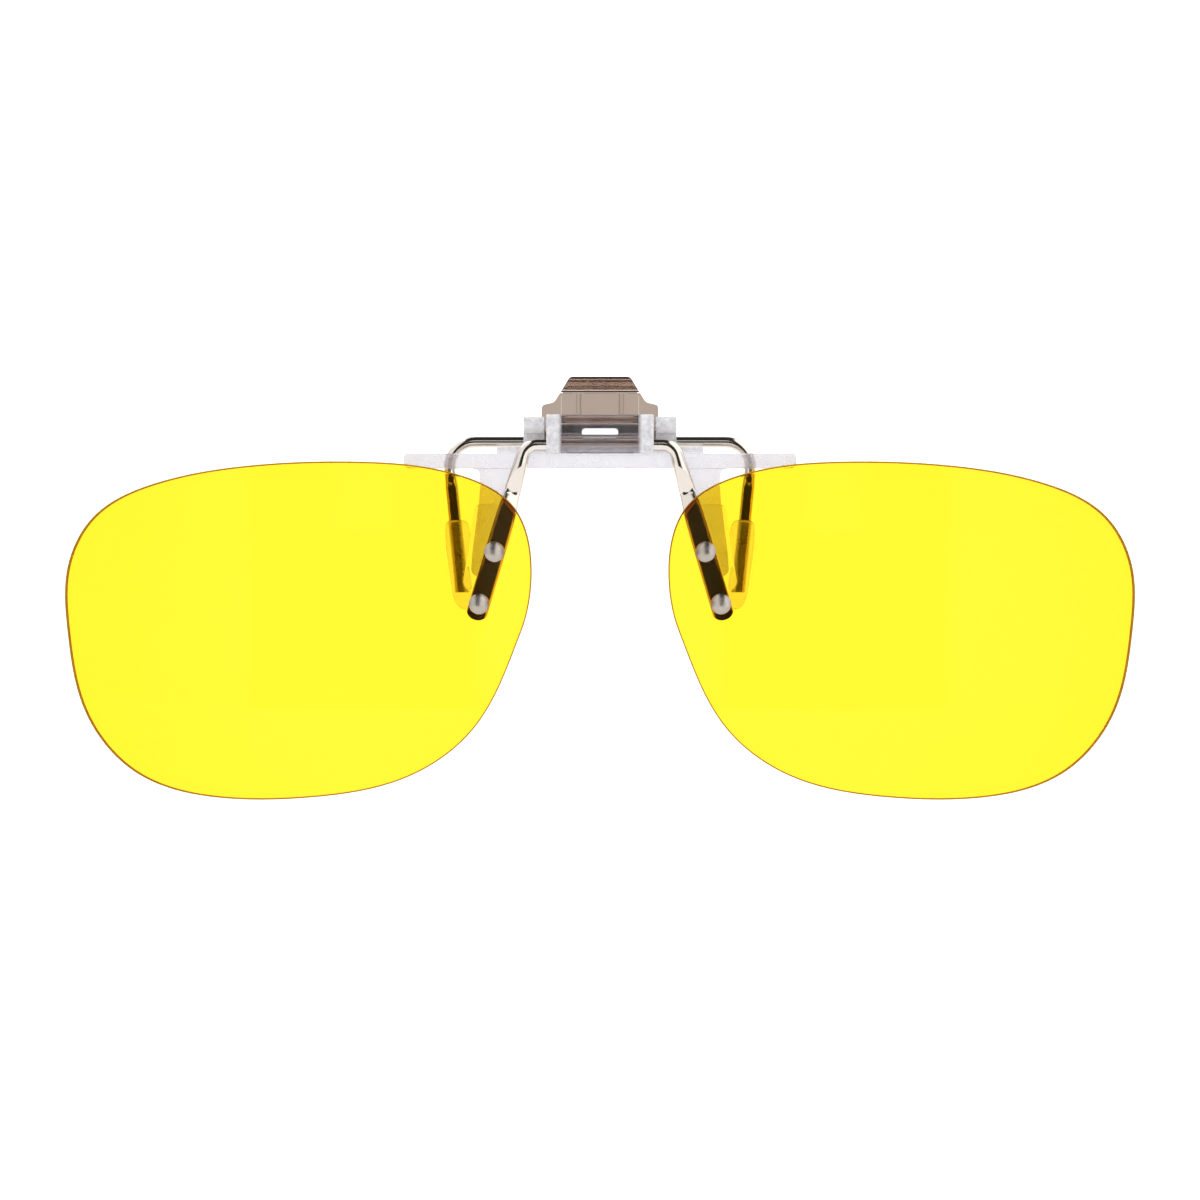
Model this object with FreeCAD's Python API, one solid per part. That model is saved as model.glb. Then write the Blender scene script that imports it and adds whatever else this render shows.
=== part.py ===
import FreeCAD, Part
import math
import os

V = FreeCAD.Vector

# Clip-on flip lenses: two tinted lenses on a flip block, hinged to a clear spectacle clamp.
# Millimetres. +X is to the right as seen from the front, +Y points back to the wearer, +Z is up.
# The origin is the middle of the grip: Y = 0 is the plane of the front pads' gripping faces.

# hinge axes, both along X
flip_y = -1.85
flip_z = 14.82
clamp_y = 1.35
clamp_z = 12.84

# lens: a spherical shell cut to an outline, turned a little to follow the face
lens_x = 36.55
lens_z = -10.0
lens_front_y = -7.0
lens_radius = 90.0
lens_thickness = 1.1
lens_wrap_deg = 4.5
lens_bevel = 0.08
# outline from the lens centre: distance away from the nose, height
lens_outline = [
    (-26.9, 0.0), (-28.1, 7.5), (-25.9, 15.0), (-19.0, 18.95), (-7.4, 20.4), (7.2, 19.8),
    (17.8, 17.7), (25.2, 13.6), (28.2, 7.5), (28.1, 0.0), (26.0, -9.5), (20.0, -16.8),
    (9.4, -20.0), (-2.0, -19.9), (-13.0, -17.6), (-21.6, -11.2),
]

# front wires: round in the flip block, oval below the bend, then pressed flat into a tab behind the lens
wire_radius = 0.7
front_wire_y = -2.85
front_wire_z = 12.48
front_wire_inner_x = 5.5
front_wire_collar_x = 6.7
front_wire_collar = 0.72
front_wire_corner_x = 8.88
front_wire_bend = 1.8
front_wire_slope = 0.292
bend_stations = 4
press_stations = 6
set_back_start = 0.3
press_start = 0.36
corner_start = 0.55
tab_half_thickness = 0.3
tab_half_width = 1.27
tab_top_half_width = 1.0
tab_widening = 1.6
tab_power = 4
tab_top_z = 6.4
tab_end_z = -8.6
seat_gap = 0.02
# a pressed part starts this far inside the round wire, and this much thinner
press_lap = 0.3
press_step = 0.006

# rivets
rivet_z = [-0.44, -6.7]
rivet_head_radius = 1.25
rivet_head_height = 0.62
rivet_shank_radius = 0.5
rivet_hole_radius = 0.53
rivet_tail_radius = 0.85
rivet_tail_height = 0.22

# flip block
block_half = 6.45
block_front_y = -3.7
block_back_y = -0.59
block_slab_back_y = -2.05
block_top_z = 16.08
block_bottom_z = 11.4
recess_half = 4.3
recess_depth = 0.75
recess_top_z = 15.5
trunnion_radius = 0.5
trunnion_end_x = 8.6
ejector_z = 13.0
ejector_radius = 1.0

# bracket
bar_half = 23.65
bar_low_z = 9.6
bar_top_z = 11.4
bar_front_y = -1.75
bar_back_y = 0.05
middle_half = 12.45
middle_top_z = 12.24
knuckle_inner_x = 6.7
knuckle_outer_x = 9.2
knuckle_radius = 1.02
ear_inner_x = 8.05
ear_radius = 1.08
trunnion_bore_radius = 0.54
wire_bore_radius = 0.75
leg_front_y = -1.4
leg_back_y = -0.5
pad_front_y = -1.9
pad_edge = 0.4

# rear wire and sleeves
rear_corner_x = 18.45
rear_bend = 3.0
rear_foot_x = 16.65
rear_foot_z = -5.3
rear_press_start_z = 9.3
rear_press_end_z = 7.3
rear_half_width = 0.75
rear_half_thickness = 0.5
notch_z = [8.3, 7.1, 5.9, 4.7]
notch_half_width = 0.34
notch_length = 0.8
notch_depth = 0.16
sleeve_gap = 0.25

# spring lever: one sheet, curled round the rear wire, leaning back, with a thumb lip on top
sheet = 0.4
lean_deg = 12.0
lip_bend_z = 19.3
lip_rise_deg = 30.0
lip_length = 2.6
curl_end_deg = 55.0
lever_top_z = 20.68
window_half = 4.68
window_top_z = 18.72
window_bottom_z = 13.05
tongue_half = 4.6
slit_relief_radius = 0.17
tongue_jog_top_z = 16.55
tongue_foot_top_z = 14.95
tongue_foot_bottom_z = 13.15
tongue_gap = 0.05


def corner_arc(before, corner, after, radius):
    """Tangent points and middle of the arc that rounds a corner."""
    d1 = (before - corner).normalize()
    d2 = (after - corner).normalize()
    half = d1.getAngle(d2) / 2
    run = radius / math.tan(half)
    middle = corner + (d1 + d2).normalize() * (radius / math.sin(half) - radius)
    return corner + d1 * run, middle, corner + d2 * run


def rounded_wire(corners, closed=True):
    """A wire through (point, radius) corners, with a tangent arc wherever the radius is not 0."""
    count = len(corners)
    stops = []
    for i, (point, radius) in enumerate(corners):
        inside = closed or 0 < i < count - 1
        if radius > 0 and inside:
            before = corners[i - 1][0]
            after = corners[(i + 1) % count][0]
            stops.append(corner_arc(before, point, after, radius))
        else:
            stops.append((point, None, point))
    edges = []
    for i, (start, middle, end) in enumerate(stops):
        if middle is not None:
            edges.append(Part.Arc(start, middle, end).toShape())
        last = i == count - 1
        if last and not closed:
            continue
        following = stops[(i + 1) % count][0]
        if end.distanceToPoint(following) > 1e-6:
            edges.append(Part.LineSegment(end, following).toShape())
    return Part.Wire(edges)


def prism_x(corners, x0, x1):
    """Extrude a side-view outline of (y, z, radius) corners from x0 to x1."""
    wire = rounded_wire([(V(x0, y, z), r) for y, z, r in corners])
    return Part.Face(wire).extrude(V(x1 - x0, 0, 0))


def prism_y(corners, y0, y1):
    """Extrude a front-view outline of (x, z, radius) corners from y0 to y1."""
    wire = rounded_wire([(V(x, y0, z), r) for x, z, r in corners])
    return Part.Face(wire).extrude(V(0, y1 - y0, 0))


def rod_x(radius, x0, x1, y, z):
    return Part.makeCylinder(radius, x1 - x0, V(x0, y, z), V(1, 0, 0))


def round_edges(solid, radius, keep=lambda edge: True):
    return solid.makeFillet(radius, [e for e in solid.Edges if keep(e)])


def mirrored(shape):
    return shape.mirror(V(0, 0, 0), V(1, 0, 0))


def both_sides(shape):
    return [shape, mirrored(shape)]


def section(centre, across, along, half_width, half_thickness, power):
    """A closed superellipse across a strip: power 2 is round, higher is flatter."""
    across = V(across).normalize()
    normal = V(along).cross(across).normalize()
    points = []
    for i in range(24):
        a = 2 * math.pi * i / 24
        c, s = math.cos(a), math.sin(a)
        u = math.copysign(abs(c) ** (2 / power), c) * half_width
        v = math.copysign(abs(s) ** (2 / power), s) * half_thickness
        points.append(centre + across * u + normal * v)
    curve = Part.BSplineCurve()
    curve.interpolate(Points=points, PeriodicFlag=True)
    return Part.Wire(curve.toShape())


def sweep_round(path, radius):
    """A round bar along a wire path."""
    start = path.OrderedVertexes[0].Point
    direction = path.OrderedEdges[0].tangentAt(path.OrderedEdges[0].FirstParameter)
    ring = Part.Wire(Part.makeCircle(radius, start, direction))
    return path.makePipeShell([ring], True, True)


# ---- right lens ----
wrap = math.radians(lens_wrap_deg)
lens_normal = V(math.sin(wrap), -math.cos(wrap), 0)
curve_centre = V(lens_x, lens_front_y, lens_z) - lens_normal * lens_radius
back_radius = lens_radius - lens_thickness


def on_sphere(x, z, radius):
    """The front point at x and z of a sphere about the lens's centre of curvature."""
    reach = radius ** 2 - (x - curve_centre.x) ** 2 - (z - curve_centre.z) ** 2
    return V(x, curve_centre.y - math.sqrt(reach), z)


def leg_x(z):
    """The front wire's centre line in front view."""
    return front_wire_corner_x + front_wire_slope * (front_wire_z - z)


def rivet_place(z):
    """The seat on the lens's front face and the direction that points out of it."""
    seat = on_sphere(leg_x(z), z, lens_radius)
    return seat, (seat - curve_centre).normalize()


def rim_wire(share):
    """The lens outline on the front sphere, scaled by share towards the centre of curvature."""
    out = V(math.cos(wrap), math.sin(wrap), 0)
    rim = Part.BSplineCurve()
    points = []
    for a, b in lens_outline:
        depth = math.sqrt(lens_radius ** 2 - a ** 2 - b ** 2)
        points.append(curve_centre + (out * a + V(0, 0, b) + lens_normal * depth) * share)
    rim.interpolate(Points=points, PeriodicFlag=True)
    return Part.Wire(rim.toShape())


def make_lens():
    """A spherical shell whose edge is ground square to its surface all round."""
    blank = Part.makeLoft([rim_wire(1.03), rim_wire(0.96)], True, True)
    shell = blank.common(Part.makeSphere(lens_radius, curve_centre))
    lens = shell.cut(Part.makeSphere(back_radius, curve_centre))
    faces = sorted(lens.Faces, key=lambda f: f.Area)
    lens = lens.makeChamfer(lens_bevel, faces[-1].Edges + faces[-2].Edges)
    for z in rivet_z:
        seat, outward = rivet_place(z)
        lens = lens.cut(Part.makeCylinder(rivet_hole_radius, 4, seat + outward * 1, outward * -1))
    return lens


# ---- rivet: domed head in front of the lens, small tail behind the tab ----
def make_rivet(z):
    seat, outward = rivet_place(z)
    stack = lens_thickness + seat_gap + 2 * tab_half_thickness + 0.02
    ball_radius = (rivet_head_radius ** 2 + rivet_head_height ** 2) / (2 * rivet_head_height)
    ball = Part.makeSphere(ball_radius, seat + outward * (rivet_head_height - ball_radius))
    front = Part.makeCylinder(3, 3, seat, outward)
    head = ball.common(front)
    shank = Part.makeCylinder(rivet_shank_radius, stack, seat, outward * -1)
    tail_seat = seat - outward * stack
    tail = Part.makeCylinder(rivet_tail_radius, rivet_tail_height, tail_seat, outward * -1)
    far_end = max(tail.Faces, key=lambda f: f.CenterOfMass.dot(outward * -1))
    tail = tail.makeFillet(0.1, far_end.Edges)
    return head.fuse([shank, tail]).removeSplitter()


# ---- front wire ----
bend_sweep = math.pi / 2 - math.atan(front_wire_slope)
bend_start_x = front_wire_corner_x - front_wire_bend * math.tan(bend_sweep / 2)
bend_end_z = front_wire_z - front_wire_bend * (1 - math.cos(bend_sweep))
bend_length = front_wire_bend * bend_sweep
press_length = (bend_end_z - tab_top_z) / math.sin(bend_sweep)


def ease(share):
    """Rises smoothly from 0 to 1."""
    share = min(max(share, 0), 1)
    return share ** 2 * (3 - 2 * share)


def tab_centre(z):
    """The middle of the flat tab at height z, just behind the lens's back surface."""
    return on_sphere(leg_x(z), z, back_radius - seat_gap - tab_half_thickness)


def tab_ring(z):
    centre = tab_centre(z)
    along = tab_centre(z - 0.5) - centre
    narrowing = (tab_half_width - tab_top_half_width) * math.exp((z - tab_top_z) / tab_widening)
    across = (centre - curve_centre).cross(along)
    return section(centre, across, along, tab_half_width - narrowing, tab_half_thickness, tab_power)


def wire_ring(centre, along, length, outward=V(0, -1, 0)):
    """The wire's section, length mm past the start of the bend: it widens and flattens towards the tab."""
    share = length / (bend_length + press_length)
    half_width = front_wire_collar + (tab_top_half_width - front_wire_collar) * ease(share)
    flat = ease((share - press_start) / (1 - press_start))
    half_thickness = front_wire_collar + (tab_half_thickness - front_wire_collar) * flat
    power = 2 + (tab_power - 2) * max(share - corner_start, 0) / (1 - corner_start)
    return section(centre, outward.cross(along), along, half_width, half_thickness, power)


def bend_ring(turn):
    """The section turn radians past the start of the bend."""
    reach = V(math.sin(turn), 0, math.cos(turn) - 1) * front_wire_bend
    centre = V(bend_start_x, front_wire_y, front_wire_z) + reach
    return wire_ring(centre, V(math.cos(turn), 0, -math.sin(turn)), front_wire_bend * turn)


def pressed_point(share):
    """The centre line between the bend, at share 0, and the tab. It sets back only below the bracket's bar."""
    z = bend_end_z + (tab_top_z - bend_end_z) * share
    top = tab_centre(tab_top_z)
    rest = 1 - set_back_start
    turn = max(share - set_back_start, 0) / rest
    fall = (tab_centre(tab_top_z - 0.5).y - top.y) / 0.5 * (bend_end_z - tab_top_z) * rest
    y = front_wire_y + (top.y - front_wire_y) * ease(turn) + fall * (turn ** 3 - turn ** 2)
    return V(leg_x(z), y, z)


def pressed_ring(share):
    """A section between the bend and the tab, which turns to face out of the lens's surface."""
    along = (pressed_point(share + 0.01) - pressed_point(share - 0.01)).normalize()
    facing = (tab_centre(tab_top_z) - curve_centre).normalize()
    outward = V(0, -1, 0) * (1 - ease(share)) + facing * ease(share)
    return wire_ring(pressed_point(share), along, bend_length + press_length * share, outward)


def tab_trim():
    """The tab's outline in front view: open at the sides, with a full round at the end."""
    down = V(front_wire_slope, 0, -1).normalize()
    side = V(1, 0, front_wire_slope).normalize()
    end = V(leg_x(tab_end_z), 0, tab_end_z)
    far = end - down * 18
    half = tab_half_width + 0.02
    corners = [(far + side * 2, 0), (end + side * half, tab_half_width)]
    corners += [(end - side * half, tab_half_width), (far - side * 2, 0)]
    return prism_y([(p.x, p.z, r) for p, r in corners], -9, 2)


def make_front_wire():
    bar = rod_x(wire_radius, front_wire_inner_x, front_wire_collar_x + 0.1, front_wire_y, front_wire_z)
    straight = [front_wire_collar_x, (front_wire_collar_x + bend_start_x) / 2]
    rings = [wire_ring(V(x, front_wire_y, front_wire_z), V(1, 0, 0), 0) for x in straight]
    rings += [bend_ring(bend_sweep * i / bend_stations) for i in range(bend_stations + 1)]
    rings += [pressed_ring(i / press_stations) for i in range(1, press_stations)]
    pressed = Part.makeLoft(rings + [tab_ring(tab_top_z)], True, False)
    strip = Part.makeLoft([tab_ring(z) for z in (tab_top_z, 3.2, 0, -3.2, -6.5, tab_end_z - 1.5)], True, False)
    return bar.fuse(pressed).fuse(strip.common(tab_trim())).removeSplitter()


def cut_rivet_holes(wire):
    for z in rivet_z:
        seat, outward = rivet_place(z)
        wire = wire.cut(Part.makeCylinder(rivet_hole_radius, 6, seat + outward * 2, outward * -1))
    return wire


# ---- flip block ----
def make_flip_block():
    body = prism_x(
        [
            (block_front_y, block_top_z, 0.5),
            (block_back_y, block_top_z, 0.5),
            (block_back_y, 13.5, 0.5),
            (block_slab_back_y, 13.5, 0.35),
            (block_slab_back_y, block_bottom_z, 0.25),
            (block_front_y, block_bottom_z, 0.35),
        ],
        -block_half, block_half,
    )
    ends = [e for f in body.Faces if abs(f.CenterOfMass.x) > block_half - 0.01 for e in f.Edges]
    body = body.makeFillet(0.12, ends)
    floor_y = block_front_y + recess_depth
    recess = prism_y(
        [
            (-recess_half, recess_top_z, 0.5), (recess_half, recess_top_z, 0.5),
            (recess_half - 0.35, block_bottom_z - 1, 0), (-recess_half + 0.35, block_bottom_z - 1, 0),
        ],
        block_front_y - 1, floor_y,
    )
    body = body.cut(recess)
    ring = Part.makeCylinder(ejector_radius, 0.06, V(0, floor_y, ejector_z), V(0, 1, 0))
    core = Part.makeCylinder(ejector_radius - 0.08, 0.06, V(0, floor_y, ejector_z), V(0, 1, 0))
    body = body.cut(ring.cut(core))
    hole = rod_x(wire_radius, front_wire_inner_x, block_half + 1, front_wire_y, front_wire_z)
    trunnion = rod_x(trunnion_radius, block_half - 0.45, trunnion_end_x, flip_y, flip_z)
    body = body.cut(both_sides(hole)).fuse(both_sides(trunnion))
    return body.removeSplitter()


# ---- bracket ----
def make_leg():
    """The right leg, a flat tongue that hangs from the bar and carries a front pad."""
    return prism_y(
        [
            (15.6, 10.2, 0), (15.6, 9.65, 0), (14.55, 9.45, 0.6), (14.45, 7.4, 3.0), (14.62, 5.2, 4.0),
            (15.35, -0.5, 6.0), (15.6, -3.4, 0.9), (13.3, -3.4, 0.9), (12.6, 2.6, 3.0),
            (11.4, 5.5, 2.0), (10.1, 7.4, 2.0), (9.5, 10.2, 0),
        ],
        leg_front_y, leg_back_y,
    )


def make_knuckle():
    """The right knuckle: a boss for the trunnion, a neck, and a thin ear round the rear wire."""
    boss = rod_x(knuckle_radius, knuckle_inner_x, knuckle_outer_x, flip_y, flip_z)
    boss = round_edges(boss, 0.1, lambda e: e.Length > 3)
    neck = prism_x(
        [
            (bar_front_y, 11.6, 0), (bar_front_y, 14.2, 0), (-1.3, 14.9, 0),
            (-0.88, 14.7, 0.3), (-0.15, 13.3, 0.5), (-0.15, 11.6, 0),
        ],
        knuckle_inner_x, knuckle_outer_x,
    )
    ear = prism_x(
        [
            (bar_front_y, clamp_z - ear_radius, 0), (bar_front_y, 14.5, 0), (-1.0, 15.2, 0.5),
            (2.01, 13.7, 0.3), (clamp_y, clamp_z - ear_radius, 0),
        ],
        ear_inner_x, knuckle_outer_x,
    )
    eye = rod_x(ear_radius, ear_inner_x, knuckle_outer_x, clamp_y, clamp_z)
    return boss.fuse([neck, ear, eye])


def make_bracket():
    bar = prism_y(
        [
            (-bar_half, bar_low_z, 0.7), (bar_half, bar_low_z, 0.7),
            (bar_half, bar_top_z, 0.5), (-bar_half, bar_top_z, 0.5),
        ],
        bar_front_y, bar_back_y,
    )
    bar = round_edges(bar, 0.18)
    middle = prism_y(
        [
            (-middle_half, bar_low_z, 0), (middle_half, bar_low_z, 0),
            (middle_half, middle_top_z, 0.3), (-middle_half, middle_top_z, 0.3),
        ],
        bar_front_y - 0.08, bar_back_y,
    )
    middle = round_edges(middle, 0.12)
    pocket = prism_y(
        [(-6.05, 9.95, 0.3), (6.05, 9.95, 0.3), (6.05, 11.15, 0.3), (-6.05, 11.15, 0.3)],
        bar_back_y - 0.9, bar_back_y + 1,
    )
    body = bar.fuse([middle])
    for part in both_sides(make_leg()) + both_sides(make_knuckle()):
        body = body.fuse(part)
    body = body.removeSplitter().cut(pocket)
    for x0 in (6.5, -7.9):
        square = prism_y(
            [(x0, 9.95, 0.15), (x0 + 1.4, 9.95, 0.15), (x0 + 1.4, 11.35, 0.15), (x0, 11.35, 0.15)],
            bar_back_y - 0.7, bar_back_y + 1,
        )
        body = body.cut(square)
    body = body.cut(rod_x(trunnion_bore_radius, -10, 10, flip_y, flip_z))
    return body.cut(rod_x(wire_bore_radius, -10, 10, clamp_y, clamp_z))


# ---- right front pad: a soft sleeve over the leg ----
def make_front_pad():
    pad = prism_y(
        [
            (11.9, 5.3, 0.8), (15.1, 5.3, 0.8), (16.0, -1.0, 8.0), (16.75, -5.25, 1.3),
            (13.1, -5.25, 1.3), (12.5, -1.0, 8.0),
        ],
        pad_front_y, 0,
    )
    return round_edges(pad, pad_edge).cut(make_leg())


# ---- rear wire: bent to a gate shape, both feet pressed flat ----
def rear_leg_point(z):
    share = (clamp_z - z) / (clamp_z - rear_foot_z)
    return V(rear_corner_x + (rear_foot_x - rear_corner_x) * share, clamp_y, z)


def rear_ring(z, half_width, half_thickness, power):
    along = (rear_leg_point(0) - rear_leg_point(1)).normalize()
    return section(rear_leg_point(z), V(1, 0, 0), along, half_width, half_thickness, power)


def flat_rear_ring(z, grow=0.0):
    return rear_ring(z, rear_half_width + grow, rear_half_thickness + grow, 3)


def make_rear_foot():
    """The right foot: pressed from round to flat, then straight to its end."""
    thin = wire_radius - press_step
    rings = [rear_ring(rear_press_start_z + run, thin, thin, 2) for run in (press_lap, 0)]
    pressed = Part.makeLoft(rings + [flat_rear_ring(rear_press_end_z)], True, False)
    straight = Part.makeLoft([flat_rear_ring(rear_press_end_z), flat_rear_ring(rear_foot_z)], True, True)
    foot = pressed.fuse(straight)
    for z in notch_z:
        foot = foot.cut(make_notch(z))
    return foot


def make_notch(z):
    """A coined pocket in the front face of the foot, one of a row that keeps the sleeve from slipping."""
    x = rear_leg_point(z).x
    low, high = z - notch_length / 2, z + notch_length / 2
    corners = [(x - notch_half_width, low), (x + notch_half_width, low)]
    corners += [(x + notch_half_width, high), (x - notch_half_width, high)]
    front = clamp_y - rear_half_thickness
    return prism_y([(a, b, 0.2) for a, b in corners], front - 1, front + notch_depth)


def make_rear_wire():
    top = V(rear_corner_x, clamp_y, clamp_z)
    press = rear_leg_point(rear_press_start_z)
    corners = [(mirror_point(press), 0), (mirror_point(top), rear_bend), (top, rear_bend), (press, 0)]
    bar = sweep_round(rounded_wire(corners, closed=False), wire_radius)
    for foot in both_sides(make_rear_foot()):
        bar = bar.fuse(foot)
    return bar.removeSplitter()


def mirror_point(point):
    return V(-point.x, point.y, point.z)


# ---- right rear sleeve: soft tube with a shoulder and a rounded tip ----
def make_rear_sleeve():
    # height, centre x, half width, half thickness
    rings = [
        (3.4, 17.3, 1.0, 0.8), (2.95, 17.27, 1.32, 1.0), (2.4, 17.22, 1.45, 1.1), (-1.5, 17.0, 1.38, 1.08),
        (-4.5, 16.7, 1.26, 1.02), (-6.3, 16.45, 1.12, 0.92), (-7.0, 16.35, 0.8, 0.7), (-7.38, 16.3, 0.25, 0.2),
    ]
    down = V(-0.05, 0, -1)
    centre_y = sleeve_gap + 1.1
    wires = [section(V(x, centre_y, z), V(1, 0, 0), down, w, t, 2.6) for z, x, w, t in rings]
    body = Part.makeLoft(wires, True, False)
    cavity = Part.makeLoft([flat_rear_ring(6, 0.01), flat_rear_ring(rear_foot_z, 0.01)], True, True)
    return body.cut(cavity)


# ---- spring lever and its tongue ----
lean = math.radians(lean_deg)
plate_up = V(0, math.sin(lean), math.cos(lean))
plate_front = V(0, -math.cos(lean), math.sin(lean))
wire_centre = V(0, clamp_y, clamp_z)


def plate_point(z, depth):
    """A point of the leaning plate at height z, depth in front of its middle surface."""
    base = wire_centre + plate_front * (wire_radius + sheet / 2 + depth)
    return base + plate_up * ((z - base.z) / plate_up.z)


def strip_profile(path):
    """A closed face of one sheet thickness about a side-view path."""
    outer = path.makeOffset2D(sheet / 2, 0, False, True)
    inner = path.makeOffset2D(-sheet / 2, 0, False, True)
    a0, a1 = outer.OrderedVertexes[0].Point, outer.OrderedVertexes[-1].Point
    b0, b1 = inner.OrderedVertexes[0].Point, inner.OrderedVertexes[-1].Point
    if a0.distanceToPoint(b0) > a0.distanceToPoint(b1):
        b0, b1 = b1, b0
    caps = [Part.LineSegment(a0, b0).toShape(), Part.LineSegment(a1, b1).toShape()]
    return Part.Face(Part.Wire(Part.__sortEdges__(outer.Edges + inner.Edges + caps)))


def curl_point(angle_deg):
    """A point of the curl's middle surface; 0 is straight back, 90 straight up."""
    a = math.radians(angle_deg)
    return wire_centre + V(0, math.cos(a), math.sin(a)) * (wire_radius + sheet / 2)


def lever_path():
    front_deg = 180 - lean_deg
    turn = front_deg - 360
    curl = Part.Arc(curl_point(curl_end_deg), curl_point((curl_end_deg + turn) / 2), curl_point(turn)).toShape()
    start = curl_point(turn)
    bend = plate_point(lip_bend_z, 0)
    rise = math.radians(lip_rise_deg)
    tip = bend + V(0, -math.cos(rise), math.sin(rise)) * lip_length
    first, middle, last = corner_arc(start, bend, tip, 0.7)
    edges = [
        curl,
        Part.LineSegment(start, first).toShape(),
        Part.Arc(first, middle, last).toShape(),
        Part.LineSegment(last, tip).toShape(),
    ]
    return Part.Wire(edges)


def make_spring_lever():
    sheet_face = strip_profile(lever_path())
    blank = sheet_face.extrude(V(16, 0, 0))
    blank.translate(V(-8, 0, 0))
    right = [
        (3.63, lever_top_z, 0.7), (5.55, 17.62, 0.9), (7.04, 17.3, 0.5),
        (7.04, 12.55, 0), (7.8, 12.4, 0.2), (7.8, 11.0, 0),
    ]
    left = [(-x, z, r) for x, z, r in reversed(right)]
    lever = blank.common(prism_y(right + left, -6, 6))
    window = prism_y(
        [
            (-window_half, window_bottom_z, 0.4), (window_half, window_bottom_z, 0.4),
            (window_half, window_top_z, 0), (-window_half, window_top_z, 0),
        ],
        -2, 6,
    )
    return lever.cut([window] + slit_reliefs())


def slit_reliefs():
    """Round holes at the tops of the two slits beside the tongue."""
    x = (window_half + tongue_half) / 2
    hole = Part.makeCylinder(slit_relief_radius, 8, V(x, -2, window_top_z), V(0, 1, 0))
    return both_sides(hole)


def make_spring_tongue():
    """Lanced from the lever's sheet: bends forward, and its foot lies on the flip block's flat."""
    foot_y = block_back_y + tongue_gap + sheet / 2
    path = rounded_wire(
        [
            (plate_point(window_top_z + 1, 0), 0), (plate_point(tongue_jog_top_z, 0), 0.7),
            (V(0, foot_y, tongue_foot_top_z), 0.7), (V(0, foot_y, tongue_foot_bottom_z), 0),
        ],
        closed=False,
    )
    blank = strip_profile(path).extrude(V(2 * tongue_half, 0, 0))
    blank.translate(V(-tongue_half, 0, 0))
    below_root = prism_y(
        [(-6, 12, 0), (6, 12, 0), (6, window_top_z, 0), (-6, window_top_z, 0)],
        -4, 6,
    )
    pill = prism_y(
        [(-2.2, 13.52, 0.46), (2.2, 13.52, 0.46), (2.2, 14.46, 0.46), (-2.2, 14.46, 0.46)],
        -3, 2,
    )
    return blank.common(below_root).cut([pill] + slit_reliefs())


def one_solid(shape):
    """The single solid of a boolean result."""
    solids = shape.Solids
    if len(solids) != 1:
        raise ValueError("expected one solid, found %d" % len(solids))
    return solids[0]


def write(name, shape):
    shape = one_solid(shape)
    if not shape.isValid():
        raise ValueError(name + " is not valid")
    print(name, round(shape.Volume, 3), shape.BoundBox)
    shape.exportStep("parts/%s.step" % name)


os.makedirs("parts", exist_ok=True)
front_wire = cut_rivet_holes(make_front_wire())
sides = [
    ("lens", make_lens()),
    ("front_wire", front_wire),
    ("rivet_upper", make_rivet(rivet_z[0])),
    ("rivet_lower", make_rivet(rivet_z[1])),
    ("front_pad", make_front_pad()),
    ("rear_sleeve", make_rear_sleeve()),
]
for side_name, side_shape in sides:
    write(side_name + "_right", side_shape)
    write(side_name + "_left", mirrored(side_shape))
write("flip_block", make_flip_block())
write("bracket", make_bracket())
write("rear_wire", make_rear_wire())
write("spring_lever", make_spring_lever())
write("spring_tongue", make_spring_tongue())
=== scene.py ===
import math

import bmesh
import bpy
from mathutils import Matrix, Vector


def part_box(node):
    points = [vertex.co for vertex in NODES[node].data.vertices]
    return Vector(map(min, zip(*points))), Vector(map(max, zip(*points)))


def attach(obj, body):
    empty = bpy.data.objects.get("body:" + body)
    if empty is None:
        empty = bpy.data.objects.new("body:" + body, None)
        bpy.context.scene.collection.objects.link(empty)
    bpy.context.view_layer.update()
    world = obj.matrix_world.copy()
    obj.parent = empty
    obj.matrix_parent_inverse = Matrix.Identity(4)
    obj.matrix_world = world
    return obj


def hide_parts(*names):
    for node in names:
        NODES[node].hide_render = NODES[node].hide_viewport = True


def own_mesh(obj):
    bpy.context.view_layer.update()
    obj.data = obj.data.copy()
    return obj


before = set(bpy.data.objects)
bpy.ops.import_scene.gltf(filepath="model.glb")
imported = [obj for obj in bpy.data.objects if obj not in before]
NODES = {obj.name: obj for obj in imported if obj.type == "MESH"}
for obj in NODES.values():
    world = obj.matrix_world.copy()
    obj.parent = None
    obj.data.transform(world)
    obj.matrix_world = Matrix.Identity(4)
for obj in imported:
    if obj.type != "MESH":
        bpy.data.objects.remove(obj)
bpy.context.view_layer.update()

MM = 0.001

# camera: 144 mm across the picture at the lenses, level with a line 16.63 mm below their tops
VIEW_WIDTH = 0.144
CAMERA_DISTANCE = 0.9
LENS_PLANE_Y = -0.004
SENSOR = 36.0
VIEW_BELOW_TOP = 0.01663
lens_low, lens_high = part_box("lens_right")

# brightness of the studio's parts: what is seen straight through the clear pieces, what is seen
# obliquely through them, what lights matt surfaces, and what the metal mirrors
BACKDROP = 1.45
OBLIQUE = 1.05
AMBIENT = 1.1
CARD = 1.15
TABLE = 0.5
BELOW = 1.45
PLATE_CARD = 0.62

# the side cards stand this much further out for light that has passed a lens
LENS_SHIFT = 0.34

# lamp over the back, and the floor
LAMP_PLACE = (-0.5, 0.3, 0.9)
LAMP_SIZE = 0.7
LAMP_POWER = 1.5
FLOOR_DROP = 0.09
FLOOR_SIZE = 0.9

# the lever leans back by this much, and its sheet is this thick
LEAN = math.radians(12)
SHEET = 0.4 * MM

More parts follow.
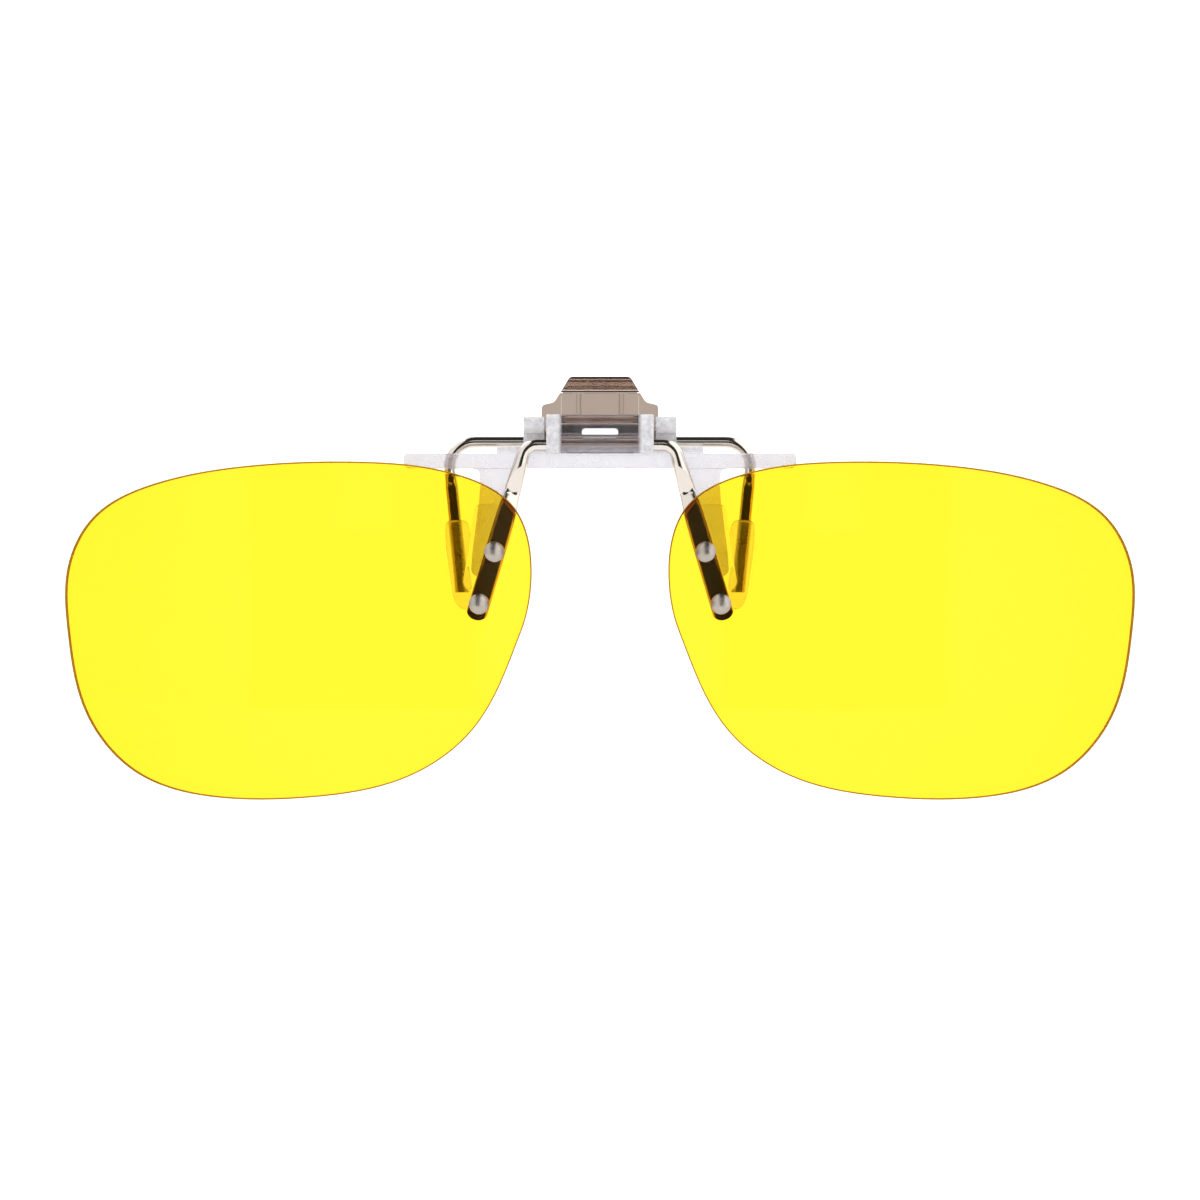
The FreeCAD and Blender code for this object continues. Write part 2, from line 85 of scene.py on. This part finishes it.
# soft sleeves: points round each ring, rings from end to end, the rounding of the ends, how far
# inside the CAD piece's ends they stop, and the power of the section's superellipse
RING = 48
SLEEVE_RINGS = 36
END_ROUND = 0.35 * MM
END_GAP = 0.01 * MM
SEARCH_MARGIN = 0.3 * MM
PAD_POWER = 3.4
SLEEVE_POWER = 2.4

# spring tongue: bend heights and radius, width, ears in the slits' relief holes, grooves and slot
TONGUE_JOG_Z = 15.85 * MM
TONGUE_FOOT_Z = 14.95 * MM
TONGUE_BEND = 0.45 * MM
BEND_POINTS = 10
TONGUE_HALF = 4.665 * MM
TONGUE_COLUMNS = 96
SHARP_ANGLE = math.radians(40)
EAR = 0.155 * MM
SLIT = 0.03 * MM
GROOVE_X = 2.58 * MM
GROOVE_WIDTH = 0.3 * MM
GROOVE_DEPTH = 0.015 * MM
SLOT_HALF = 2.2 * MM
SLOT_RADIUS = 0.46 * MM
SLOT_Z = 13.99 * MM
SLOT_POINTS = 48

# the ground rim of a lens
RIM = (0.62, 0.36, 0.06)

# where the clear mouldings turn cloudy: the block's cheeks by distance from the middle, and the
# bracket's knuckles by height
CHEEKS = (4.5 * MM, 5.1 * MM)
KNUCKLES = (11.3 * MM, 12.2 * MM)


# ---------------------------------------------------------------- node helpers
def new_material(name):
    mat = bpy.data.materials.new(name)
    mat.use_nodes = True
    tree = mat.node_tree
    shader = tree.nodes["Principled BSDF"]
    return mat, tree, shader


def noise(tree, scale, detail=3.0, rough=0.5, stretch=(1, 1, 1)):
    """Noise in the row frame's metres, so that a scale of 1000 is a pattern of about 1 mm."""
    coords = tree.nodes.new("ShaderNodeTexCoord")
    mapping = tree.nodes.new("ShaderNodeMapping")
    mapping.inputs["Scale"].default_value = stretch
    tex = tree.nodes.new("ShaderNodeTexNoise")
    tex.inputs["Scale"].default_value = scale
    tex.inputs["Detail"].default_value = detail
    tex.inputs["Roughness"].default_value = rough
    tree.links.new(coords.outputs["Object"], mapping.inputs["Vector"])
    tree.links.new(mapping.outputs["Vector"], tex.inputs["Vector"])
    return tex.outputs["Fac"]


def spread(tree, factor, low, high):
    """Maps a noise value to the range low to high."""
    node = tree.nodes.new("ShaderNodeMapRange")
    node.inputs["From Min"].default_value = 0.3
    node.inputs["From Max"].default_value = 0.7
    node.inputs["To Min"].default_value = low
    node.inputs["To Max"].default_value = high
    tree.links.new(factor, node.inputs["Value"])
    return node.outputs["Result"]


def tint(tree, factor, dark, light):
    """Mixes two colours, each a triple or a socket, by a factor."""
    node = tree.nodes.new("ShaderNodeMix")
    node.data_type = "RGBA"
    for key, colour in (("A", dark), ("B", light)):
        if isinstance(colour, tuple):
            node.inputs[key].default_value = (*colour, 1)
        else:
            tree.links.new(colour, node.inputs[key])
    tree.links.new(factor, node.inputs["Factor"])
    return node.outputs["Result"]


def math_node(tree, operation, a, b=None):
    node = tree.nodes.new("ShaderNodeMath")
    node.operation = operation
    for socket, value in zip(node.inputs, (a, b)):
        if value is None:
            continue
        if isinstance(value, (int, float)):
            socket.default_value = value
        else:
            tree.links.new(value, socket)
    return node.outputs["Value"]


def smooth_step(tree, value, start, end, low, high):
    node = tree.nodes.new("ShaderNodeMapRange")
    node.interpolation_type = "SMOOTHSTEP"
    for key, number in (("From Min", start), ("From Max", end), ("To Min", low), ("To Max", high)):
        node.inputs[key].default_value = number
    tree.links.new(value, node.inputs["Value"])
    return node.outputs["Result"]


def mix_value(tree, factor, a, b):
    node = tree.nodes.new("ShaderNodeMix")
    for socket, value in ((node.inputs["Factor"], factor), (node.inputs["A"], a), (node.inputs["B"], b)):
        if isinstance(value, (int, float)):
            socket.default_value = value
        else:
            tree.links.new(value, socket)
    return node.outputs["Result"]


def bump(tree, shader, height, strength, distance):
    node = tree.nodes.new("ShaderNodeBump")
    node.inputs["Strength"].default_value = strength
    node.inputs["Distance"].default_value = distance
    tree.links.new(height, node.inputs["Height"])
    tree.links.new(node.outputs["Normal"], shader.inputs["Normal"])


def absorb(tree, per_metre):
    """Fills the solid with a plain absorption, given what it takes of red, green and blue per metre."""
    volume = tree.nodes.new("ShaderNodeVolumeAbsorption")
    density = max(per_metre)
    volume.inputs["Density"].default_value = density
    volume.inputs["Color"].default_value = (*[1 - a / density for a in per_metre], 1)
    tree.links.new(volume.outputs["Volume"], tree.nodes["Material Output"].inputs["Volume"])


def object_part(tree, axis):
    """One coordinate in the row frame, in metres."""
    coords = tree.nodes.new("ShaderNodeTexCoord")
    parts = tree.nodes.new("ShaderNodeSeparateXYZ")
    tree.links.new(coords.outputs["Object"], parts.inputs["Vector"])
    return parts.outputs[axis]


# ---------------------------------------------------------------- materials
def make_lens_tint():
    """Polished yellow filter plastic with a ground rim. The tint is in its depth, so its rim looks amber."""
    mat, tree, shader = new_material("lens_tint")
    shader.inputs["IOR"].default_value = 1.2
    geometry = tree.nodes.new("ShaderNodeNewGeometry")
    parts = tree.nodes.new("ShaderNodeSeparateXYZ")
    tree.links.new(geometry.outputs["Normal"], parts.inputs["Vector"])
    facing = math_node(tree, "ABSOLUTE", parts.outputs["Y"])
    ground = smooth_step(tree, facing, 0.55, 0.8, 1.0, 0.0)
    cloud = noise(tree, 60, 2.0)
    polish = spread(tree, cloud, 0.0, 0.01)
    tree.links.new(mix_value(tree, ground, 1.0, 0.15), shader.inputs["Transmission Weight"])
    tree.links.new(mix_value(tree, ground, polish, 0.45), shader.inputs["Roughness"])
    body = tint(tree, cloud, (1.0, 0.985, 0.95), (1.0, 1.0, 1.0))
    tree.links.new(tint(tree, ground, body, RIM), shader.inputs["Base Color"])
    absorb(tree, (40, 345, 3300))
    return mat


def make_clear_plastic(name, haze, cloudy_axis, cloudy_range, cloudy_haze):
    """Clear moulded plastic with a faint lavender cast. Haze is the share of light that scatters. It
    rises to the cloudy haze over a range of distances from the middle, measured along one axis."""
    mat, tree, shader = new_material(name)
    shader.inputs["IOR"].default_value = 1.49
    skin = noise(tree, 350, 2.0)
    distance = math_node(tree, "ABSOLUTE", object_part(tree, cloudy_axis))
    inside = smooth_step(tree, distance, *cloudy_range, 0.0, 1.0)
    clots = noise(tree, 1400, 3.0, 0.6)
    share = mix_value(tree, inside, spread(tree, skin, *haze), spread(tree, clots, *cloudy_haze))
    tree.links.new(math_node(tree, "SUBTRACT", 1.0, share), shader.inputs["Transmission Weight"])
    tree.links.new(spread(tree, skin, 0.02, 0.07), shader.inputs["Roughness"])
    tree.links.new(tint(tree, skin, (0.85, 0.84, 0.87), (0.9, 0.895, 0.91)), shader.inputs["Base Color"])
    bump(tree, shader, skin, 0.05, 0.00002)
    absorb(tree, (42, 46, 34))
    return mat


def make_clear_silicone(name, ior, clear, rough):
    """Soft silicone: how much light goes straight through, and how much it blurs, vary in soft clouds."""
    mat, tree, shader = new_material(name)
    shader.inputs["IOR"].default_value = ior
    cloud = noise(tree, 400, 3.0)
    tree.links.new(spread(tree, cloud, *clear), shader.inputs["Transmission Weight"])
    tree.links.new(spread(tree, cloud, *rough), shader.inputs["Roughness"])
    tree.links.new(tint(tree, cloud, (0.95, 0.95, 0.96), (0.99, 0.99, 0.99)), shader.inputs["Base Color"])
    bump(tree, shader, cloud, 0.1, 0.00002)
    absorb(tree, (16, 17, 13))
    return mat


def make_nickel(name, dark, light, rough, along):
    """Bright warm nickel with drawing marks, long in one direction. Its two stain colours are given per
    copy, and a darker, warmer pair paints in a reflection, as on the sheet.
    """
    mat, tree, shader = new_material(name)
    shader.inputs["Metallic"].default_value = 1.0
    marks = noise(tree, 2600, 4.0, 0.65, along)
    stain = noise(tree, 260, 2.0)
    tree.links.new(spread(tree, marks, rough * 0.6, rough * 1.4), shader.inputs["Roughness"])
    tree.links.new(tint(tree, stain, dark, light), shader.inputs["Base Color"])
    bump(tree, shader, marks, 0.05, 0.00001)
    return mat


LENS_TINT = make_lens_tint()
BLOCK_PLASTIC = make_clear_plastic("clear_plastic_block", (0.02, 0.08), "X", CHEEKS, (0.6, 0.95))
BRACKET_PLASTIC = make_clear_plastic("clear_plastic_bracket", (0.22, 0.3), "Z", KNUCKLES, (0.55, 0.85))
PAD_SILICONE = make_clear_silicone("clear_silicone_pad", 1.15, (0.99, 0.95), (0.05, 0.12))
SLEEVE_SILICONE = make_clear_silicone("clear_silicone_sleeve", 1.22, (0.92, 0.84), (0.25, 0.35))
DRAWN_NICKEL = make_nickel("polished_nickel_wire", (0.78, 0.71, 0.64), (0.87, 0.81, 0.75), 0.1, (1, 1, 0.12))
# the sheet gets a darker, warmer copy of the wire's nickel: painted reflection, standing in for the warm,
# dim light its leaning plate mirrors
SHEET_NICKEL_PAINTED_REFLECTION = make_nickel("polished_nickel_sheet_painted_reflection", (0.7, 0.56, 0.46), (0.76, 0.62, 0.52), 0.06, (1, 1, 0.2))
SATIN_NICKEL = make_nickel("satin_nickel", (0.46, 0.41, 0.36), (0.58, 0.52, 0.46), 0.34, (1, 1, 1))

FINISH = {
    "lens": LENS_TINT,
    "flip_block": BLOCK_PLASTIC,
    "bracket": BRACKET_PLASTIC,
    "front_wire": DRAWN_NICKEL,
    "rear_wire": DRAWN_NICKEL,
    "spring": SHEET_NICKEL_PAINTED_REFLECTION,
    "rivet": SATIN_NICKEL,
    "front_pad": PAD_SILICONE,
    "rear_sleeve": SLEEVE_SILICONE,
}


def finish_nodes():
    for name, node in NODES.items():
        mat = next(m for start, m in FINISH.items() if name.startswith(start))
        for material_slot in node.material_slots:
            material_slot.material = mat


# ---------------------------------------------------------------- soft sleeves
def slice_box(node, z, low, high):
    """The x and y limits of a CAD node's cut at height z, counting only what lies between two corners."""
    bm = bmesh.new()
    bm.from_mesh(node.data)
    found = bmesh.ops.bisect_plane(
        bm, geom=bm.verts[:] + bm.edges[:] + bm.faces[:], plane_co=(0, 0, z), plane_no=(0, 0, 1)
    )
    points = [v.co.copy() for v in found["geom_cut"] if isinstance(v, bmesh.types.BMVert)]
    bm.free()
    points = [p for p in points if low.x < p.x < high.x and low.y < p.y < high.y]
    xs = [p.x for p in points]
    ys = [p.y for p in points]
    return min(xs), max(xs), min(ys), max(ys)


def ring_points(box, z, power):
    """A closed superellipse that fills a slice box."""
    x0, x1, y0, y1 = box
    points = []
    for i in range(RING):
        a = 2 * math.pi * i / RING
        c, s = math.cos(a), math.sin(a)
        x = (x0 + x1) / 2 + math.copysign(abs(c) ** (2 / power), c) * (x1 - x0) / 2
        y = (y0 + y1) / 2 + math.copysign(abs(s) ** (2 / power), s) * (y1 - y0) / 2
        points.append(Vector((x, y, z)))
    return points


def skin(bm, rings):
    """Joins closed rings of points into one closed surface, with a fan over each end."""
    rows = [[bm.verts.new(p) for p in ring] for ring in rings]
    for upper, lower in zip(rows, rows[1:]):
        for i in range(RING):
            j = (i + 1) % RING
            bm.faces.new((upper[i], upper[j], lower[j], lower[i]))
    for row in (rows[0], rows[-1]):
        middle = bm.verts.new(sum((v.co for v in row), Vector()) / RING)
        for i in range(RING):
            bm.faces.new((row[i], row[(i + 1) % RING], middle))


def add_piece(name, bm, material):
    """Turns a bmesh into a smooth piece of the scene."""
    bmesh.ops.recalc_face_normals(bm, faces=bm.faces[:])
    mesh = bpy.data.meshes.new(name)
    bm.to_mesh(mesh)
    bm.free()
    mesh.shade_smooth()
    mesh.materials.append(material)
    piece = bpy.data.objects.new(name, mesh)
    bpy.context.scene.collection.objects.link(piece)
    return piece


def rounded_end(box, depth):
    """Draws a slice box in near an end, so that the end is rounded over."""
    if depth > END_ROUND:
        return box
    inset = END_ROUND - math.sqrt(END_ROUND ** 2 - (END_ROUND - depth) ** 2)
    x0, x1, y0, y1 = box
    return x0 + inset, x1 - inset, y0 + inset, y1 - inset


def make_sleeve(node_name, body, power, material):
    """A soft sleeve moulded on its core. It follows the CAD piece, with a rounder section."""
    node = NODES[node_name]
    low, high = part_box(node_name)
    margin = Vector((SEARCH_MARGIN, SEARCH_MARGIN, 0))
    rings = []
    for i in range(SLEEVE_RINGS + 1):
        share = 0.5 - 0.5 * math.cos(math.pi * i / SLEEVE_RINGS)
        z = high.z - END_GAP - (high.z - low.z - 2 * END_GAP) * share
        box = slice_box(node, z, low - margin, high + margin)
        rings.append(ring_points(rounded_end(box, min(high.z - z, z - low.z)), z, power))
    bm = bmesh.new()
    skin(bm, rings)
    piece = add_piece(node_name + "_soft", bm, material)
    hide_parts(node_name)
    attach(piece, body)


# ---------------------------------------------------------------- spring tongue
def fillet(before, corner, after, radius):
    """Points of the arc that rounds a corner of a side-view path."""
    d1 = (before - corner).normalized()
    d2 = (after - corner).normalized()
    half = d1.angle(d2) / 2
    centre = corner + (d1 + d2).normalized() * radius / math.sin(half)
    start = corner + d1 * radius / math.tan(half) - centre
    end = corner + d2 * radius / math.tan(half) - centre
    shares = [i / BEND_POINTS for i in range(BEND_POINTS + 1)]
    return [centre + start.slerp(end, share).normalized() * radius for share in shares]


def tongue_path(low, high):
    """The middle line in side view, as (y, z): down the lever's plate, forward, then down the foot."""
    top_y = high.y - SHEET / 2 / math.cos(LEAN)
    foot_y = low.y + SHEET / 2
    top = Vector((top_y, high.z))
    jog = Vector((top_y - (high.z - TONGUE_JOG_Z) * math.tan(LEAN), TONGUE_JOG_Z))
    foot = Vector((foot_y, TONGUE_FOOT_Z))
    bottom = Vector((foot_y, low.z))
    path = [top + (jog - top) * (i / 24) ** 2 * 0.8 for i in range(25)]
    path += fillet(top, jog, foot, TONGUE_BEND)
    path += fillet(jog, foot, bottom, TONGUE_BEND)
    return path + [foot + (bottom - foot) * share for share in (0.5, 0.75, 1.0)]


def tongue_row(bm, point, normal, half_width, side):
    """One row of vertices across the tongue, on its front or back, with its two shallow grooves."""
    row = []
    for i in range(TONGUE_COLUMNS + 1):
        x = half_width * (2 * i / TONGUE_COLUMNS - 1)
        away = (abs(x) - GROOVE_X) / GROOVE_WIDTH
        groove = GROOVE_DEPTH * math.exp(-away * away)
        place = point + normal * (side * SHEET / 2 - groove)
        row.append(bm.verts.new((x, place.x, place.y)))
    return row


def tongue_rows(bm, path):
    """The rows of vertices down the tongue's front and back. The top rows have an ear at each side."""
    front, back = [], []
    for i, point in enumerate(path):
        along = path[min(i + 1, len(path) - 1)] - path[max(i - 1, 0)]
        normal = Vector((along.y, -along.x)).normalized()
        depth = path[0].y - point.y
        ear = math.sqrt(max(EAR ** 2 - depth ** 2, 0))
        half_width = TONGUE_HALF + max(ear - SLIT, 0)
        front.append(tongue_row(bm, point, normal, half_width, 1))
        back.append(tongue_row(bm, point, normal, half_width, -1))
    return front, back


def close_tongue(bm, front, back):
    """Faces over the front and back, then down the two sides, then across both ends."""
    for face in (front, back):
        for upper, lower in zip(face, face[1:]):
            for i in range(TONGUE_COLUMNS):
                bm.faces.new((upper[i], upper[i + 1], lower[i + 1], lower[i]))
    for i in range(len(front) - 1):
        for k in (0, -1):
            bm.faces.new((front[i][k], front[i + 1][k], back[i + 1][k], back[i][k]))
    for k in (0, -1):
        for i in range(TONGUE_COLUMNS):
            bm.faces.new((front[k][i], front[k][i + 1], back[k][i + 1], back[k][i]))


def make_tongue():
    """The lanced tongue, with two pressed grooves and a slot in its foot."""
    low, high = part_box("spring_tongue")
    bm = bmesh.new()
    front, back = tongue_rows(bm, tongue_path(low, high))
    close_tongue(bm, front, back)
    piece = add_piece("spring_tongue_pressed", bm, SHEET_NICKEL_PAINTED_REFLECTION)
    cut_slot(piece, low)
    piece.data.set_sharp_from_angle(angle=SHARP_ANGLE)
    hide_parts("spring_tongue")
    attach(piece, "clamp")
    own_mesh(piece)


def cut_slot(piece, low):
    """Cuts the round-ended slot through the foot."""
    bm = bmesh.new()
    half, radius = SLOT_HALF - SLOT_RADIUS, SLOT_RADIUS
    outline = []
    for i in range(SLOT_POINTS):
        a = 2 * math.pi * i / SLOT_POINTS
        x = math.copysign(half, math.cos(a)) + radius * math.cos(a)
        outline.append((x, SLOT_Z + radius * math.sin(a)))
    near = [bm.verts.new((x, low.y - MM, z)) for x, z in outline]
    far = [bm.verts.new((x, low.y + 2 * MM, z)) for x, z in outline]
    bm.faces.new(near)
    bm.faces.new(far)
    for i in range(SLOT_POINTS):
        j = (i + 1) % SLOT_POINTS
        bm.faces.new((near[i], near[j], far[j], far[i]))
    cutter = add_piece("slot_cutter", bm, SHEET_NICKEL_PAINTED_REFLECTION)
    cut = piece.modifiers.new("slot", "BOOLEAN")
    cut.object = cutter
    cut.operation = "DIFFERENCE"
    cut.solver = "EXACT"
    bpy.context.view_layer.update()
    shown = piece.evaluated_get(bpy.context.evaluated_depsgraph_get())
    mesh = bpy.data.meshes.new_from_object(shown)
    piece.modifiers.clear()
    piece.data = mesh
    bpy.data.objects.remove(cutter)


# ---------------------------------------------------------------- studio
def direction_part(tree, axis):
    coords = tree.nodes.new("ShaderNodeTexCoord")
    parts = tree.nodes.new("ShaderNodeSeparateXYZ")
    tree.links.new(coords.outputs["Generated"], parts.inputs["Vector"])
    return parts.outputs[axis]


def any_depth(tree, path, kind):
    """1 for light that has bounced or passed in the given way at least once, else 0."""
    return math_node(tree, "MINIMUM", path.outputs[kind + " Depth"], 1.0)


def side_cards(tree, path, x, aside):
    """A card on each side, brighter on the right, which stands further out for light through a lens."""
    shift = math_node(tree, "MULTIPLY", any_depth(tree, path, "Transmission"), LENS_SHIFT)
    off_centre = math_node(tree, "SUBTRACT", aside, shift)
    card = smooth_step(tree, off_centre, 0.27, 0.36, 0.03, CARD)
    card = math_node(tree, "MULTIPLY", card, smooth_step(tree, x, -0.3, 0.3, 0.85, 1.15))
    return math_node(tree, "MULTIPLY", card, smooth_step(tree, aside, 0.8, 1.0, 1.0, 0.55))


def table_strip(tree, z, aside):
    """A strip of pale table in front of the object, brighter the further down."""
    table = smooth_step(tree, z, -0.5, -0.15, TABLE, 0.0)
    below = smooth_step(tree, z, -0.56, -0.45, BELOW, 0.0)
    table = math_node(tree, "MAXIMUM", table, below)
    return math_node(tree, "MULTIPLY", table, smooth_step(tree, aside, 0.025, 0.06, 1.0, 0.1))


def plate_card(tree, y, z, aside):
    """A small card where the lever's leaning plate mirrors it to the camera."""
    off_plate = math_node(tree, "ABSOLUTE", math_node(tree, "SUBTRACT", z, math.sin(2 * LEAN)))
    plate = smooth_step(tree, off_plate, 0.1, 0.17, PLATE_CARD, 0.0)
    plate = math_node(tree, "MULTIPLY", plate, smooth_step(tree, y, -0.3, 0.0, 1.0, 0.0))
    return math_node(tree, "MULTIPLY", plate, smooth_step(tree, aside, 0.05, 0.12, 1.0, 0.0))


def make_world():
    """A light table: white behind, soft cards at the sides, a pale strip below, dark above and in front."""
    world = bpy.data.worlds.new("studio")
    bpy.context.scene.world = world
    world.use_nodes = True
    world.cycles.sampling_method = "NONE"
    tree = world.node_tree
    background = tree.nodes["Background"]
    path = tree.nodes.new("ShaderNodeLightPath")
    x, y, z = (direction_part(tree, axis) for axis in "XYZ")
    aside = math_node(tree, "ABSOLUTE", x)
    depth = math_node(tree, "ABSOLUTE", y)
    mirrored = side_cards(tree, path, x, aside)
    behind = smooth_step(tree, y, 0.3, 0.55, 0.0, 1.0)
    for glow in (table_strip(tree, z, aside), behind, plate_card(tree, y, z, aside)):
        mirrored = math_node(tree, "MAXIMUM", mirrored, glow)
    through = smooth_step(tree, depth, 0.1, 0.65, OBLIQUE, BACKDROP)
    unseen = mix_value(tree, any_depth(tree, path, "Glossy"), through, mirrored)
    unseen = mix_value(tree, any_depth(tree, path, "Diffuse"), unseen, AMBIENT)
    total = mix_value(tree, path.outputs["Is Camera Ray"], unseen, BACKDROP)
    tree.links.new(total, background.inputs["Strength"])
    background.inputs["Color"].default_value = (1, 1, 1, 1)


def add_soft_light(name, place, size, power):
    data = bpy.data.lights.new(name, "AREA")
    data.size = size
    data.energy = power
    lamp = bpy.data.objects.new(name, data)
    lamp.location = place
    lamp.rotation_euler = (Vector((0, 0, 0)) - Vector(place)).to_track_quat("-Z", "Y").to_euler()
    bpy.context.scene.collection.objects.link(lamp)


def make_floor():
    bpy.ops.mesh.primitive_plane_add(size=FLOOR_SIZE, location=(0, 0, lens_low.z - FLOOR_DROP))
    floor = bpy.context.object
    floor.name = "floor"
    mat, tree, shader = new_material("pale_floor")
    shader.inputs["Roughness"].default_value = 0.8
    mottle = noise(tree, 40, 2.0)
    tree.links.new(tint(tree, mottle, (0.93, 0.93, 0.93), (0.95, 0.95, 0.95)), shader.inputs["Base Color"])
    floor.data.materials.append(mat)


def make_camera():
    data = bpy.data.cameras.new("camera")
    data.sensor_width = SENSOR
    data.lens = SENSOR * CAMERA_DISTANCE / VIEW_WIDTH
    camera = bpy.data.objects.new("camera", data)
    camera.location = (0, LENS_PLANE_Y - CAMERA_DISTANCE, lens_high.z - VIEW_BELOW_TOP)
    camera.rotation_euler = (math.radians(90), 0, 0)
    bpy.context.scene.collection.objects.link(camera)
    bpy.context.scene.camera = camera


finish_nodes()
for side in ("left", "right"):
    make_sleeve("front_pad_" + side, "bracket", PAD_POWER, PAD_SILICONE)
    make_sleeve("rear_sleeve_" + side, "clamp", SLEEVE_POWER, SLEEVE_SILICONE)
make_tongue()
make_world()
make_floor()
add_soft_light("key", LAMP_PLACE, LAMP_SIZE, LAMP_POWER)
make_camera()
bpy.context.scene.view_settings.view_transform = "Standard"
